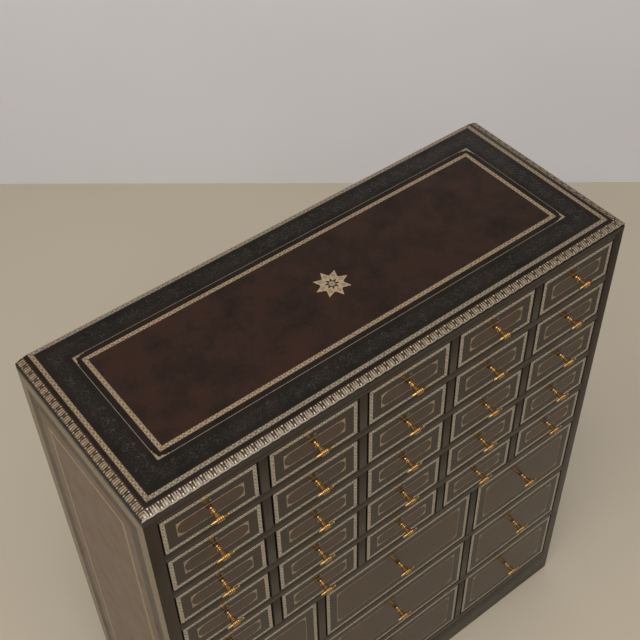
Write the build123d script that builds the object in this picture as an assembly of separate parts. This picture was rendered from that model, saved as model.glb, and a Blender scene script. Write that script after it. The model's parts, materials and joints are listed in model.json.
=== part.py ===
from build123d import *
import os

# Apothecary chest in millimetres. +Z is up and the drawers open towards -Y.
# The origin is on the floor, under the middle of the chest with its pulls.

# Case
CASE_WIDTH = 914.0
CASE_DEPTH = 350.0
SIDE_THICKNESS = 20.5
BACK_THICKNESS = 6.0
BACK_REBATE = 9.0

# Top board and its moulded edge
TOP_THICKNESS = 18.0
MOULD_DROP = 6.0
MOULD_FILLET_RUN = 6.5
MOULD_FILLET_DROP = 1.2
MOULD_LEAF_RUN = 15.0
MOULD_LEAF_CROWN = 0.9

# Rails and shelves, all with the same edge
RAIL = 15.3
TOP_RAIL_HEIGHT = 9.3
TOP_RAIL_DEPTH = 60.0
HOUSING_DEPTH = 6.0
HOUSING_STOP = 12.0

# Small drawers
SMALL_ROWS = 5
SMALL_COLUMNS = 5
SMALL_OPENING_HEIGHT = 79.0
PARTITION = 17.0

# Large drawers, each middle one as wide as two columns
LARGE_ROWS = 3
LARGE_OPENING_HEIGHT = 145.0

# Base
BASE_HEIGHT = 70.0
GLIDE_HEIGHT = 3.0
GLIDE_RADIUS = 9.0
GLIDE_INSET = 30.0
PLINTH_THICKNESS = 18.0
CORNER_BLOCK = 34.0

# Drawer boxes
SIDE_GAP = 1.5
TOP_GAP = 2.2
BOTTOM_GAP = 0.8
RUN_CLEARANCE = 0.3
FRONT_THICKNESS = 16.0
FRONT_LAP = 5.0
BOX_BOARD = 8.0
SMALL_BOX_HEIGHT = 64.0
LARGE_BOX_HEIGHT = 126.0
BOX_BACK_GAP = 22.0
BOTTOM_THICKNESS = 4.0
BOTTOM_RISE = 8.0
GROOVE_DEPTH = 4.0

# Stop blocks on the shelves, behind the drawer fronts
STOP_WIDTH = 40.0
STOP_LENGTH = 20.0
STOP_HEIGHT = 4.5
STOP_GAP = 0.3

# Cast pull: a beaded cuff, an arm and a fist round a rod.
# Its round stretches have flat sides, because thirty-four pulls of true rounds are heavy.
PULL_RISE = 2.0
PULL_SIDES = 8
NECK_RADIUS = 3.0
FOOT_LENGTH = 3.6
BEAD_RADIUS = 4.6
BEAD_LENGTH = 2.0
COLLAR_RADIUS = 3.7
COLLAR_LENGTH = 1.8
WRIST_RADIUS = 3.1
KNUCKLE_RADIUS = 4.1
ROD_RADIUS = 2.0
ROD_LENGTH = 31.0
ROD_REACH = 21.0
FINGERS = 4
FINGER_WIDTH = 3.1
FINGER_WALL = 2.3
FINGER_CHAMFER = 2.4
FINGER_GROOVE = 1.0

# Sizes that follow from those above
FIST_WIDTH = FINGERS * FINGER_WIDTH
FIST_RADIUS = ROD_RADIUS + FINGER_WALL
PULL_REACH = ROD_REACH + FIST_RADIUS
FRONT_Y = -(CASE_DEPTH - PULL_REACH) / 2
BACK_Y = FRONT_Y + CASE_DEPTH
INNER_BACK_Y = BACK_Y - BACK_THICKNESS
BOX_LENGTH = INNER_BACK_Y - BOX_BACK_GAP - FRONT_Y
INNER_WIDTH = CASE_WIDTH - 2 * SIDE_THICKNESS
COLUMN_WIDTH = (INNER_WIDTH - (SMALL_COLUMNS - 1) * PARTITION) / SMALL_COLUMNS
COLUMN_PITCH = COLUMN_WIDTH + PARTITION
SMALL_PITCH = SMALL_OPENING_HEIGHT + RAIL
LARGE_PITCH = LARGE_OPENING_HEIGHT + RAIL
FIRST_FLOOR = BASE_HEIGHT + RAIL
MID_SHELF_Z = FIRST_FLOOR + LARGE_ROWS * LARGE_PITCH - RAIL
SMALL_FLOOR = MID_SHELF_Z + RAIL
TOP_RAIL_Z = SMALL_FLOOR + SMALL_ROWS * SMALL_PITCH - RAIL
TOP_Z = TOP_RAIL_Z + TOP_RAIL_HEIGHT
CASE_HEIGHT = TOP_Z + TOP_THICKNESS
LARGE_DIVIDER_X = COLUMN_PITCH


def block(x0, x1, y0, y1, z0, z1):
    """A board given by its two ends along each axis."""
    return Pos((x0 + x1) / 2, (y0 + y1) / 2, (z0 + z1) / 2) * Box(x1 - x0, y1 - y0, z1 - z0)


def save(name, solids):
    """Write one node, as one solid or as a group of separate solids."""
    shape = solids[0] if len(solids) == 1 else Compound(children=solids)
    export_step(shape, "parts/" + name + ".step")


def mould_profile(start, end, square_end):
    """The top board's section, moulded at its start and, unless square, at its end."""
    shoulder = MOULD_FILLET_RUN
    edge = MOULD_FILLET_RUN + MOULD_LEAF_RUN
    top = CASE_HEIGHT
    low = CASE_HEIGHT - MOULD_DROP
    ledge = CASE_HEIGHT - MOULD_FILLET_DROP
    crown = (ledge + low) / 2 + MOULD_LEAF_CROWN

    def moulded(tip, inward):
        flat = (tip + inward * edge, top)
        fillet_end = (tip + inward * (edge - shoulder), ledge)
        middle = (tip + inward * (edge - shoulder) / 2, crown)
        slope = Line(flat, fillet_end) + ThreePointArc(fillet_end, middle, (tip, low))
        return slope + Line((tip, low), (tip, TOP_Z))

    lines = [moulded(start, 1)]
    if square_end:
        top_end = (end, top)
        lines.append(Line(top_end, (end, TOP_Z)))
    else:
        top_end = (end - edge, top)
        lines.append(moulded(end, -1))
    lines.append(Line((start + edge, top), top_end))
    lines.append(Line((start, TOP_Z), (end, TOP_Z)))
    edges = [piece for line in lines for piece in line.edges()]
    return make_face(edges)


def top_board():
    """The top, where its front section and its end section meet in mitres."""
    half = CASE_WIDTH / 2
    across = extrude(Plane.YZ * mould_profile(FRONT_Y, BACK_Y, True), amount=half, both=True)
    along = extrude(Plane.XZ * mould_profile(-half, half, False), amount=CASE_DEPTH, both=True)
    return across & along


def shelf_heights():
    """The underside of each shelf that is housed in the sides, from the bottom up."""
    small = [SMALL_FLOOR + row * SMALL_PITCH - RAIL for row in range(1, SMALL_ROWS)]
    large = [FIRST_FLOOR + row * LARGE_PITCH - RAIL for row in range(0, LARGE_ROWS)]
    return large + [MID_SHELF_Z] + small


def side_panel(sign):
    """An end panel with stopped housings for the shelves and a rebate for the back."""
    outer = CASE_WIDTH / 2
    inner = outer - SIDE_THICKNESS
    panel = block(inner, outer, FRONT_Y, BACK_Y, GLIDE_HEIGHT, TOP_Z)
    panel -= block(inner, inner + BACK_REBATE, INNER_BACK_Y, BACK_Y, BASE_HEIGHT, TOP_Z)
    for z in shelf_heights():
        panel -= block(inner, inner + HOUSING_DEPTH, FRONT_Y + HOUSING_STOP, INNER_BACK_Y, z, z + RAIL)
    return panel if sign > 0 else panel.mirror(Plane.YZ)


def shelf(z):
    """A full-width board whose tongues sit in the side panels' housings."""
    half = INNER_WIDTH / 2
    board = block(-half - HOUSING_DEPTH, half + HOUSING_DEPTH, FRONT_Y, INNER_BACK_Y, z, z + RAIL)
    for sign in (-1, 1):
        board -= block(*sorted((sign * half, sign * (half + HOUSING_DEPTH))),
                       FRONT_Y, FRONT_Y + HOUSING_STOP, z, z + RAIL)
    return board


def partition_places():
    """The middle of each small partition."""
    first = -(SMALL_COLUMNS - 2) * COLUMN_PITCH / 2
    return [first + n * COLUMN_PITCH for n in range(SMALL_COLUMNS - 1)]


def small_shelf(z):
    """A shelf between small drawers, slotted from behind to pass over the partitions."""
    half = PARTITION / 2
    board = shelf(z)
    for x in partition_places():
        board -= block(x - half, x + half, (FRONT_Y + INNER_BACK_Y) / 2, INNER_BACK_Y, z, z + RAIL)
    return board


def small_partition(x):
    """An upright between small drawers, slotted from the front to take the shelves."""
    half = PARTITION / 2
    board = block(x - half, x + half, FRONT_Y, INNER_BACK_Y, SMALL_FLOOR, TOP_Z)
    board -= block(x - half, x + half, FRONT_Y, FRONT_Y + TOP_RAIL_DEPTH, TOP_RAIL_Z, TOP_Z)
    for row in range(1, SMALL_ROWS):
        z = SMALL_FLOOR + row * SMALL_PITCH - RAIL
        board -= block(x - half, x + half, FRONT_Y, (FRONT_Y + INNER_BACK_Y) / 2, z, z + RAIL)
    return board


def lower_partition(sign):
    """The uprights between large drawers, one above the other on one line."""
    x = sign * LARGE_DIVIDER_X
    half = PARTITION / 2
    uprights = []
    for row in range(LARGE_ROWS):
        z = FIRST_FLOOR + row * LARGE_PITCH
        uprights.append(block(x - half, x + half, FRONT_Y, INNER_BACK_Y, z, z + LARGE_OPENING_HEIGHT))
    return uprights


def turned(stations):
    """A turned form along -Y with flat sides, from (distance from the drawer front, radius) pairs."""
    rings = [Plane.XZ.offset(reach) * RegularPolygon(radius, PULL_SIDES) for reach, radius in stations]
    return loft(rings, ruled=True)


def pull(x, z):
    """The cast pull: cuff and arm, rod, and a fist with its fingers cut apart."""
    bead_end = FOOT_LENGTH + BEAD_LENGTH
    collar_end = bead_end + COLLAR_LENGTH
    arm = turned([
        (0, NECK_RADIUS),
        (FOOT_LENGTH, BEAD_RADIUS),
        (bead_end, NECK_RADIUS),
        (bead_end + COLLAR_LENGTH / 2, COLLAR_RADIUS),
        (collar_end, WRIST_RADIUS),
        (ROD_REACH - FIST_RADIUS / 2, KNUCKLE_RADIUS),
    ])
    rod_end = Plane.YZ.offset(-ROD_LENGTH / 2) * RegularPolygon(ROD_RADIUS, PULL_SIDES)
    rod = extrude(rod_end, amount=ROD_LENGTH)
    fist = Box(FIST_WIDTH, 2 * FIST_RADIUS, 2 * FIST_RADIUS)
    fist = chamfer(fist.edges().filter_by(Axis.X), FINGER_CHAMFER)
    notch = Polyline(
        (-FINGER_GROOVE / 2, -FIST_RADIUS),
        (0, FINGER_GROOVE - FIST_RADIUS),
        (FINGER_GROOVE / 2, -FIST_RADIUS),
        close=True,
    )
    groove = extrude(make_face(notch), FIST_RADIUS, both=True)
    for n in range(1, FINGERS):
        fist -= Pos(n * FINGER_WIDTH - FIST_WIDTH / 2, 0, 0) * groove
    hand = Pos(0, -ROD_REACH, 0) * (rod + fist)
    return Pos(x, FRONT_Y, z) * (arm + hand)


def drawer(x, floor, width, opening_height, box_height):
    """One drawer shut in its opening: its boards and its pull."""
    half = width / 2
    low = floor + BOTTOM_GAP
    high = floor + opening_height - TOP_GAP
    run = floor + RUN_CLEARANCE
    back_of_front = FRONT_Y + FRONT_THICKNESS
    lap_y = back_of_front - FRONT_LAP
    end_y = FRONT_Y + BOX_LENGTH
    shoulder = half - BOX_BOARD
    bottom_low = floor + BOTTOM_RISE
    bottom_high = bottom_low + BOTTOM_THICKNESS

    groove_y = back_of_front - GROOVE_DEPTH
    tongue = block(x - shoulder, x + shoulder, groove_y, back_of_front, bottom_low, bottom_high)

    front = block(x - half, x + half, FRONT_Y, back_of_front, low, high)
    sides = []
    for sign in (-1, 1):
        inner, outer = x + sign * shoulder, x + sign * half
        span = sorted((inner, outer))
        front -= block(*span, lap_y, back_of_front, low, run + box_height)
        side = block(*span, lap_y, end_y, run, run + box_height)
        side -= block(*sorted((inner, inner + sign * GROOVE_DEPTH)), lap_y, end_y, bottom_low, bottom_high)
        sides.append(side)
    front -= tongue
    back = block(x - shoulder, x + shoulder, end_y - BOX_BOARD, end_y, bottom_high, run + box_height)
    reach = shoulder + GROOVE_DEPTH
    bottom = block(x - reach, x + reach, back_of_front, end_y, bottom_low, bottom_high) + tongue
    return [front] + sides + [back, bottom, pull(x, (low + high) / 2 + PULL_RISE)]


def stop_block(x, floor):
    """A stop that the back of a drawer front meets when the drawer is shut."""
    y = FRONT_Y + FRONT_THICKNESS + STOP_GAP
    return block(x - STOP_WIDTH / 2, x + STOP_WIDTH / 2, y, y + STOP_LENGTH, floor, floor + STOP_HEIGHT)


def small_openings():
    """Name, middle and floor of each small opening, row 1 at the top."""
    for row in range(SMALL_ROWS):
        for column in range(SMALL_COLUMNS):
            x = (column - (SMALL_COLUMNS - 1) / 2) * COLUMN_PITCH
            floor = SMALL_FLOOR + (SMALL_ROWS - 1 - row) * SMALL_PITCH
            yield "drawer_r%dc%d" % (row + 1, column + 1), x, floor


def large_openings():
    """Name, middle, floor and width of each large opening, row 1 at the top."""
    middle_width = 2 * LARGE_DIVIDER_X - PARTITION
    end_width = INNER_WIDTH / 2 - LARGE_DIVIDER_X - PARTITION / 2
    end_x = (INNER_WIDTH - end_width) / 2
    places = ((-end_x, end_width), (0, middle_width), (end_x, end_width))
    for row in range(LARGE_ROWS):
        floor = FIRST_FLOOR + (LARGE_ROWS - 1 - row) * LARGE_PITCH
        for column, (x, width) in enumerate(places):
            yield "large_drawer_r%dc%d" % (row + 1, column + 1), x, floor, width


def base_parts():
    """The plinth boards, the glue blocks in the corners and the floor glides."""
    half = INNER_WIDTH / 2
    front = block(-half, half, FRONT_Y, FRONT_Y + PLINTH_THICKNESS, GLIDE_HEIGHT, BASE_HEIGHT)
    back = block(-half, half, BACK_Y - PLINTH_THICKNESS, BACK_Y, GLIDE_HEIGHT, BASE_HEIGHT)
    blocks = []
    glides = []
    for sign in (-1, 1):
        span = sorted((sign * (half - CORNER_BLOCK), sign * half))
        near = FRONT_Y + PLINTH_THICKNESS
        far = BACK_Y - PLINTH_THICKNESS
        blocks.append(block(*span, near, near + CORNER_BLOCK, GLIDE_HEIGHT, BASE_HEIGHT))
        blocks.append(block(*span, far - CORNER_BLOCK, far, GLIDE_HEIGHT, BASE_HEIGHT))
        x = sign * (CASE_WIDTH - SIDE_THICKNESS) / 2
        for y in (FRONT_Y + GLIDE_INSET, BACK_Y - GLIDE_INSET):
            glides.append(Pos(x, y, GLIDE_HEIGHT / 2) * Cylinder(GLIDE_RADIUS, GLIDE_HEIGHT))
    save("plinth_front", [front])
    save("plinth_back", [back])
    save("corner_blocks", blocks)
    save("glides", glides)


def case_parts():
    """Everything of the case above its base."""
    half = INNER_WIDTH / 2
    reach = half + BACK_REBATE
    save("top_board", [top_board()])
    save("left_side", [side_panel(-1)])
    save("right_side", [side_panel(1)])
    save("back_panel", [block(-reach, reach, INNER_BACK_Y, BACK_Y, BASE_HEIGHT, TOP_Z)])
    save("top_rail", [block(-half, half, FRONT_Y, FRONT_Y + TOP_RAIL_DEPTH, TOP_RAIL_Z, TOP_Z)])
    save("bottom_board", [shelf(BASE_HEIGHT)])
    save("mid_shelf", [shelf(MID_SHELF_Z)])
    for row in range(1, LARGE_ROWS):
        save("lower_shelf_%d" % row, [shelf(FIRST_FLOOR + (LARGE_ROWS - row) * LARGE_PITCH - RAIL)])
    for row in range(1, SMALL_ROWS):
        save("shelf_%d" % row, [small_shelf(SMALL_FLOOR + (SMALL_ROWS - row) * SMALL_PITCH - RAIL)])
    for number, x in enumerate(partition_places(), 1):
        save("partition_%d" % number, [small_partition(x)])
    for number, sign in enumerate((-1, 1), 1):
        save("lower_partition_%d" % number, lower_partition(sign))


def drawer_parts():
    """All the drawers and the stops behind their fronts."""
    stops = []
    for name, x, floor in small_openings():
        width = COLUMN_WIDTH - 2 * SIDE_GAP
        save(name, drawer(x, floor, width, SMALL_OPENING_HEIGHT, SMALL_BOX_HEIGHT))
        stops.append(stop_block(x, floor))
    for name, x, floor, opening in large_openings():
        width = opening - 2 * SIDE_GAP
        save(name, drawer(x, floor, width, LARGE_OPENING_HEIGHT, LARGE_BOX_HEIGHT))
        stops.append(stop_block(x, floor))
    save("drawer_stops", stops)


os.makedirs("parts", exist_ok=True)
base_parts()
case_parts()
drawer_parts()
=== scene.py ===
"""Apothecary chest: a case and drawers clad in dark gilt-tooled leather, with cast brass hand pulls."""

import json
import math

import bmesh
import bpy
from bpy.props import FloatProperty, FloatVectorProperty, PointerProperty
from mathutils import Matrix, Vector


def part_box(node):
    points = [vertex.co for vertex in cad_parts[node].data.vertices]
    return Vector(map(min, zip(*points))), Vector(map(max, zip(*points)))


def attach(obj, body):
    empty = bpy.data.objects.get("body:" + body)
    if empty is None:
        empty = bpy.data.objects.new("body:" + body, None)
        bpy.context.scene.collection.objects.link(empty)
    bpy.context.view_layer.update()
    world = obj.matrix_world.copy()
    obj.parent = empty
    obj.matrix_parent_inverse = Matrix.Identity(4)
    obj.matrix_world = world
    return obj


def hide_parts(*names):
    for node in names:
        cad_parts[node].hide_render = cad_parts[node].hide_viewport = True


bl_info = {
    "name": "Apothecary Chest",
    "version": (1, 0, 0),
    "blender": (4, 5, 0),
    "location": "View3D > Sidebar > Chest",
    "description": "Builds the leather, gilding, brass and woodwork of an apothecary chest",
    "category": "Add Mesh",
}

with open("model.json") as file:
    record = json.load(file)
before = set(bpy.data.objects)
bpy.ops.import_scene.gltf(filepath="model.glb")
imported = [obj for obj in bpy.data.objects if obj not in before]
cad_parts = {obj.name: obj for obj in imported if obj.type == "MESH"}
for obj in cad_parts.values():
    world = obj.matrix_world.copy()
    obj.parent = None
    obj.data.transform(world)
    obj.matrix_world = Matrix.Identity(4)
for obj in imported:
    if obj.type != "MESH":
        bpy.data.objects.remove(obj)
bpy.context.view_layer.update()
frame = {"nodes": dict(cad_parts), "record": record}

MM = 0.001
CASE_LOW, CASE_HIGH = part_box("top_board")
FRONT_Y = CASE_LOW.y
BACK_Y = CASE_HIGH.y
HALF_WIDTH = CASE_HIGH.x
TOP_Z = CASE_HIGH.z
BOARD_Z = CASE_LOW.z
SMALL = [n for n in frame["nodes"] if n.startswith("drawer_r")]
LARGE = [n for n in frame["nodes"] if n.startswith("large_drawer_r")]
CORNERS = ((-1, -1), (1, -1), (1, 1), (-1, 1))


def linear(code):
    """A colour written as sRGB hex, in the linear values that a shader takes."""
    values = [int(code[n : n + 2], 16) / 255 for n in (0, 2, 4)]
    return tuple(v / 12.92 if v <= 0.04045 else ((v + 0.055) / 1.055) ** 2.4 for v in values) + (1.0,)


def tinted(tone, factors):
    """A colour with its red, green and blue each multiplied."""
    return tuple(min(1.0, value * factor) for value, factor in zip(tone, factors)) + (1.0,)


def millimetres(points):
    """Points given in millimetres, in metres."""
    return [tuple(value * MM for value in point) for point in points]


def length(name, description, default):
    return FloatProperty(
        name=name, description=description, default=default, min=0.0, unit="LENGTH", precision=5
    )


def colour(name, description, code):
    return FloatVectorProperty(
        name=name, description=description, default=linear(code), size=4, min=0.0, max=1.0, subtype="COLOR"
    )


class ChestTooling(bpy.types.PropertyGroup):
    """Sizes of the gilt and blind tooling."""

    band: length("Band width", "Width of the gilt guilloche bands", 6.9 * MM)
    band_pitch: length("Band repeat", "Length of one oval of the guilloche", 9.06 * MM)
    edge: length("Drawer edge", "Leather between a drawer front's edge and its band", 0.6 * MM)
    frame_inset: length("Frame inset", "From a drawer front's edge to its inner frame", 23.0 * MM)
    line: length("Line width", "Width of the inner frame's gilt line", 1.1 * MM)
    corner_across: length("Corner across", "Width of the inner frame's rounded corners", 14.5 * MM)
    corner_up: length("Corner up", "Height of the inner frame's rounded corners", 12.4 * MM)
    relief: length("Relief", "How far gilding stands above the leather", 0.12 * MM)
    top_line: length("Top line", "From the edge of the flat top to its thin line", 46.9 * MM)
    top_band: length("Top band", "From the edge of the flat top to its inner band", 57.0 * MM)
    moulding: length("Moulding", "Run of the moulded edge of the top", 21.5 * MM)
    leaf_pitch: length("Leaf repeat", "Length of one leaf and dart", 16.74 * MM)
    star: length("Star", "Radius of the rosette on the top", 30.0 * MM)


class ChestColours(bpy.types.PropertyGroup):
    """Colours of the leather, gilding, wood and metal."""

    field_dark: colour("Field, dark", "Brown leather where the dye is deepest", "1e140f")
    field_light: colour("Field, light", "Brown leather where the dye is thin", "2c1c15")
    border_dark: colour("Border, dark", "Black-brown leather", "120e0a")
    border_light: colour("Border, light", "Black-brown leather where it is rubbed", "1a1510")
    edge_dark: colour("Edges, dark", "Dark brown leather of the rails and the lip of the top", "190e07")
    edge_light: colour("Edges, light", "The same leather where it is rubbed", "2a1c11")
    vine: colour("Vine", "Ridges of the blind tooling, where they catch the light", "3b3c39")
    ledge_dark: colour("Ledge, dark", "Leather round the bands of the top", "150d09")
    ledge_light: colour("Ledge, light", "The same leather where it is rubbed", "1b120d")
    moulding_dark: colour("Moulding, dark", "Leather under the gilt leaves", "211407")
    moulding_light: colour("Moulding, light", "The same leather where it is rubbed", "2f1e0b")
    deep_dark: colour("Front border, dark", "Leather between a drawer front's band and its frame", "1d0f07")
    deep_light: colour("Front border, light", "The same leather where it is rubbed", "26160b")
    front_dark: colour("Front field, dark", "Leather inside a drawer front's frame", "2f1d10")
    front_light: colour("Front field, light", "The same leather where the dye is thin", "422b19")
    # End panels: the same leather painted paler, as painted light and reflection from the left
    side_field_sheen_dark: colour("End field, dark", "Leather inside an end panel's frame", "4f3822")
    side_field_sheen_light: colour("End field, light", "The same leather where the dye is thin", "60442b")
    side_border_sheen_dark: colour("End border, dark", "Leather inside an end panel's band", "2e1d09")
    side_border_sheen_light: colour("End border, light", "The same leather where it is rubbed", "3c2910")
    # Turned-in leather: partly darker real turned-in leather, partly painted shade in the gaps round the
    # drawers and under the top's lip
    turned_in_shade_dark: colour("Turned in, dark", "Leather turned in round the edges", "090706")
    turned_in_shade_light: colour("Turned in, light", "The same leather where it is rubbed", "110d0b")
    gilt: colour("Gilding", "Toned gold leaf", "ccb596")
    gilt_pale: colour("Gilding, pale", "Gold leaf of the outer bands and the moulding", "c6b8a3")
    # Brightest gilding: a painted highlight where the domed balls and dart tips catch the light
    gilt_painted_highlight: colour("Gilding, bright", "Gold leaf of the darts' tips", "dccdb9")
    gilt_front: colour("Gilding, fronts", "Gold leaf of the drawer fronts' bands", "ebdcc6")
    brass: colour("Brass", "Polished cast brass", "c6a26a")
    steel: colour("Steel", "Turned steel of the screws and pins", "8d8c88")
    nickel: colour("Nickel", "Turned nickel of the pins above the pulls", "85827c")
    nylon_dark: colour("Nylon, dark", "Moulded black nylon", "191919")
    nylon_light: colour("Nylon, light", "The same nylon where it clouds", "242424")
    wood_dark: colour("Wood, dark", "Late wood of the stained boards", "4a2f1c")
    wood_light: colour("Wood, light", "Early wood of the stained boards", "8a5f3c")
    back_dark: colour("Back board, dark", "Grain of the back board", "4d3320")
    back_light: colour("Back board, light", "Ground of the back board", "6e4c31")


class ChestStage(bpy.types.PropertyGroup):
    """Camera, lamps and backdrop."""

    lens: FloatProperty(name="Lens", description="Focal length", default=62.83, unit="CAMERA")
    camera_place: FloatVectorProperty(
        name="Camera place", description="Where the camera stands", default=(-0.7455, -0.9468, 2.2523),
        subtype="TRANSLATION"
    )
    camera_turn: FloatVectorProperty(
        name="Camera turn", description="How the camera is tilted, levelled and headed",
        default=tuple(math.radians(angle) for angle in (43.6225, 1.1981, -37.8514)), subtype="EULER"
    )
    key: FloatProperty(
        name="Overhead lamp", description="Power of the large lamp", default=78.0, unit="POWER"
    )
    side: FloatProperty(
        name="Side lamp", description="Power of the lamp on the left", default=26.0, unit="POWER"
    )
    room: FloatProperty(name="Room light", description="Strength of the even light", default=0.18)
    warmth: colour("Lamp colour", "Tint of both lamps", "fff7ec")
    air: colour("Room colour", "Tint of the even light", "fdfaf5")
    floor: colour("Floor", "Plain pale floor", "c6beae")
    wall: colour("Wall", "Plain pale backdrop", "e7e9f2")


def tooling():
    return bpy.context.scene.chest_tooling


def colours():
    return bpy.context.scene.chest_colours


# Materials


DYE_CLOUD = 45 * MM
DYE_FLECK = 5 * MM
LEATHER_GRAIN = 1.1 * MM
TOOLED_LEAF = 3.2 * MM
TOOLING_WEAR = 14 * MM
GOLD_WEAR = 3.5 * MM
GROWTH_BAND = 9 * MM
WOOD_FIBRE = 1.2 * MM
CASTING_CLOUD = 4 * MM
CASTING_PIT = 0.9 * MM
LATHE_MARK = 0.8 * MM
SPARK = 0.5 * MM
NYLON_CLOUD = 6 * MM
PAINT_CLOUD = 500 * MM


def add(tree, kind, inputs=(), stops=(), **settings):
    """Add a node, with its settings by name, a colour ramp's stops, and its inputs in order or by name.

    An input is a value, a socket, or a whole node, of which the first output in use is then linked.
    """
    node = tree.nodes.new("ShaderNode" + kind)
    for key, value in settings.items():
        setattr(node, key, value)
    for n, (position, shade) in enumerate(stops):
        elements = node.color_ramp.elements
        element = elements[n] if n < len(elements) else elements.new(position)
        element.position = position
        element.color = shade
    for key, value in inputs.items() if isinstance(inputs, dict) else enumerate(inputs):
        if isinstance(value, bpy.types.Node):
            value = next(socket for socket in value.outputs if socket.enabled)
        if isinstance(value, bpy.types.NodeSocket):
            tree.links.new(value, node.inputs[key])
        else:
            node.inputs[key].default_value = value
    return node


def new_tree(name):
    """The empty node tree of a new material."""
    material = bpy.data.materials.new(name)
    material.use_nodes = True
    material.node_tree.nodes.clear()
    return material.node_tree


def place_of(tree, scale=(1.0, 1.0, 1.0)):
    """Object coordinates in metres, stretched along the axes."""
    coordinates = add(tree, "TexCoord").outputs["Object"]
    return add(tree, "Mapping", {"Vector": coordinates, "Scale": scale})


def apart(tree, a, b):
    """How far two values lie apart."""
    return add(tree, "Math", (add(tree, "Math", (a, b), operation="SUBTRACT"),), operation="ABSOLUTE")


def band_place(tree):
    """Repeats along a tooled band, and the way across it from 0 to 1."""
    parts = add(tree, "SeparateXYZ", (add(tree, "UVMap", uv_map="tooling"),))
    return parts.outputs[0], parts.outputs[1]


def ellipse_reach(tree, a, half_a, b, half_b):
    """How far out a point lies in units of an ellipse with these half axes."""
    a = add(tree, "Math", (a, half_a), operation="DIVIDE")
    b = add(tree, "Math", (b, half_b), operation="DIVIDE")
    return add(tree, "VectorMath", (add(tree, "CombineXYZ", (a, b)),), operation="LENGTH")


def blind_vine(tree):
    """A running scroll with leaves in its bends, as a height from 0 to 1."""
    place = place_of(tree)
    along, across = band_place(tree)
    turn = add(tree, "Math", (along, 2 * math.pi), operation="MULTIPLY")
    swing = add(tree, "Math", (turn,), operation="SINE")
    centre = add(tree, "Math", (swing, 0.2, 0.5), operation="MULTIPLY_ADD")
    stem = add(tree, "MapRange", (apart(tree, across, centre), 0.012, 0.04, 1.0, 0.0))
    # Leaves: five lobes round the middle of each bend, two bends to a repeat
    bends = add(tree, "Math", (along, 2.0), operation="MULTIPLY")
    cell = add(tree, "Math", (bends,), operation="FRACT")
    leaf_along = add(tree, "Math", (cell, 0.5, -0.25), operation="MULTIPLY_ADD")
    side = add(tree, "Math", (swing,), operation="SIGN")
    bend = add(tree, "Math", (side, -0.13, 0.5), operation="MULTIPLY_ADD")
    leaf_across = add(tree, "Math", (across, bend), operation="SUBTRACT")
    angle = add(tree, "Math", (leaf_across, leaf_along), operation="ARCTAN2")
    wave = add(tree, "Math", (add(tree, "Math", (angle, 5.0), operation="MULTIPLY"),), operation="COSINE")
    lobes = add(tree, "Math", (wave, 0.045, 0.13), operation="MULTIPLY_ADD")
    reach = ellipse_reach(tree, leaf_across, 1.0, leaf_along, 1.0)
    outline = add(tree, "MapRange", (apart(tree, reach, lobes), 0.01, 0.035, 1.0, 0.0))
    pressed = add(tree, "Math", (stem, outline), operation="MAXIMUM")
    wear = add(
        tree, "TexNoise", {"Vector": place, "Scale": 1 / TOOLING_WEAR, "Detail": 3.0, "Roughness": 0.55}
    )
    worn = add(tree, "MapRange", (wear, 0.42, 0.6, 0.0, 1.0))
    vine = add(tree, "Math", (pressed, worn), operation="MULTIPLY")
    # Small leaves between them, too close to tell apart, in the middle of the border
    leaves = add(
        tree, "TexNoise", {"Vector": place, "Scale": 1 / TOOLED_LEAF, "Detail": 3.0, "Roughness": 0.7}
    )
    leaves = add(tree, "MapRange", (leaves, 0.54, 0.64, 0.0, 1.0))
    middle = add(tree, "MapRange", (apart(tree, across, 0.52), 0.2, 0.36, 0.6, 0.0))
    leaves = add(tree, "Math", (leaves, middle), operation="MULTIPLY")
    return add(tree, "Math", (vine, leaves), operation="MAXIMUM")


def leather(name, dark, light, gloss, blind=False):
    """Calf over board, aniline dyed and glazed: mottled colour, fine grain and a wet-looking gloss."""
    tree = new_tree(name)
    place = place_of(tree)
    clouds = add(
        tree, "TexNoise", {"Vector": place, "Scale": 1 / DYE_CLOUD, "Detail": 5.0, "Roughness": 0.6}
    )
    flecks = add(
        tree, "TexNoise", {"Vector": place, "Scale": 1 / DYE_FLECK, "Detail": 3.0, "Roughness": 0.55}
    )
    fine = add(tree, "Math", (flecks, 0.25), operation="MULTIPLY")
    mottle = add(tree, "Math", (clouds, 0.75, fine), operation="MULTIPLY_ADD")
    red = tinted(light, (1.18, 0.94, 0.9))
    tone = add(tree, "ValToRGB", (mottle,), ((0.34, dark), (0.55, light), (0.63, red), (0.75, light)))
    # The grain is about 1 mm from crease to crease, a little coarser than calf, so that it shows
    grain = add(tree, "TexVoronoi", {"Vector": place, "Scale": 1 / LEATHER_GRAIN}, feature="DISTANCE_TO_EDGE")
    pores = add(tree, "MapRange", (grain, 0.0, 0.12, 0.0, 0.5))
    height = add(tree, "Math", (flecks, 0.5, pores), operation="MULTIPLY_ADD")
    bump = add(tree, "Bump", {"Height": height, "Strength": 0.16, "Distance": 0.12 * MM})
    if blind:
        # Blind tooling is pressed without gold, so it only catches the light along its ridges
        vine = blind_vine(tree)
        shine = add(tree, "Math", (vine, 0.42), operation="MULTIPLY")
        tone = add(tree, "Mix", {"Factor": shine, "A": tone, "B": colours().vine}, data_type="RGBA")
        bump = add(tree, "Bump", {"Height": vine, "Strength": 0.6, "Distance": 0.3 * MM, "Normal": bump})
    rough = add(tree, "MapRange", (clouds, 0.3, 0.7, gloss - 0.05, gloss + 0.07))
    shader = add(tree, "BsdfPrincipled", {"Base Color": tone, "Roughness": rough, "Normal": bump, "IOR": 1.5})
    add(tree, "OutputMaterial", (shader,))


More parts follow.
